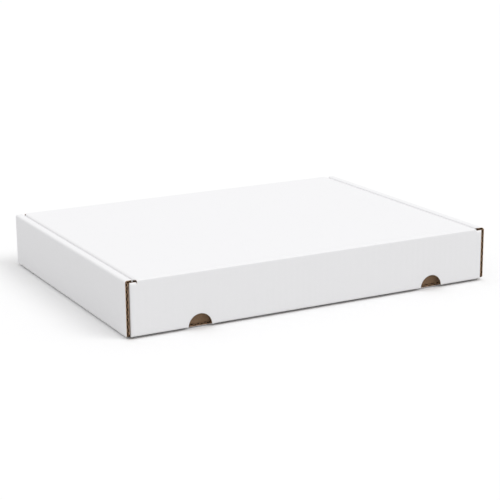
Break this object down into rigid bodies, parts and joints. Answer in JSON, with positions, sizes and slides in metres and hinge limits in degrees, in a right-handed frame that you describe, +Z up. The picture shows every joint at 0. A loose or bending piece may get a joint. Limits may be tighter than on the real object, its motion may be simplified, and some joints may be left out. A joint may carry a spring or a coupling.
{
  "type": "corrugated mailer box",
  "caption": "Flat corrugated mailer box with rolled side walls, a hinged lid that closes between them and an outside front flap with half-round thumb cuts.",
  "frame": {"origin": "middle of the underside of the closed box", "axes": "+X along the box, +Y from the front flap towards the lid's crease, +Z up"},
  "size_m": [0.35, 0.262, 0.048],
  "materials": {
    "white_board": "matt white coated corrugated board, kraft brown inside and on cut edges",
    "kraft": "plain brown kraft liner and flutes"
  },
  "bodies": {
    "tray": {"tray": "white_board"},
    "lid": {"lid": "white_board"},
    "front_flap": {"front_flap": "white_board"}
  },
  "joints": [
    {"name": "lid_hinge", "type": "hinge", "parent": "tray", "child": "lid", "pos_m": [0, 0.12965, 0.04665], "axis": [-1, 0, 0], "range_deg": [0, 170]},
    {"name": "front_flap_hinge", "type": "hinge", "parent": "lid", "child": "front_flap", "pos_m": [0, -0.12965, 0.04665], "axis": [-1, 0, 0], "range_deg": [0, 120]}
  ]
}
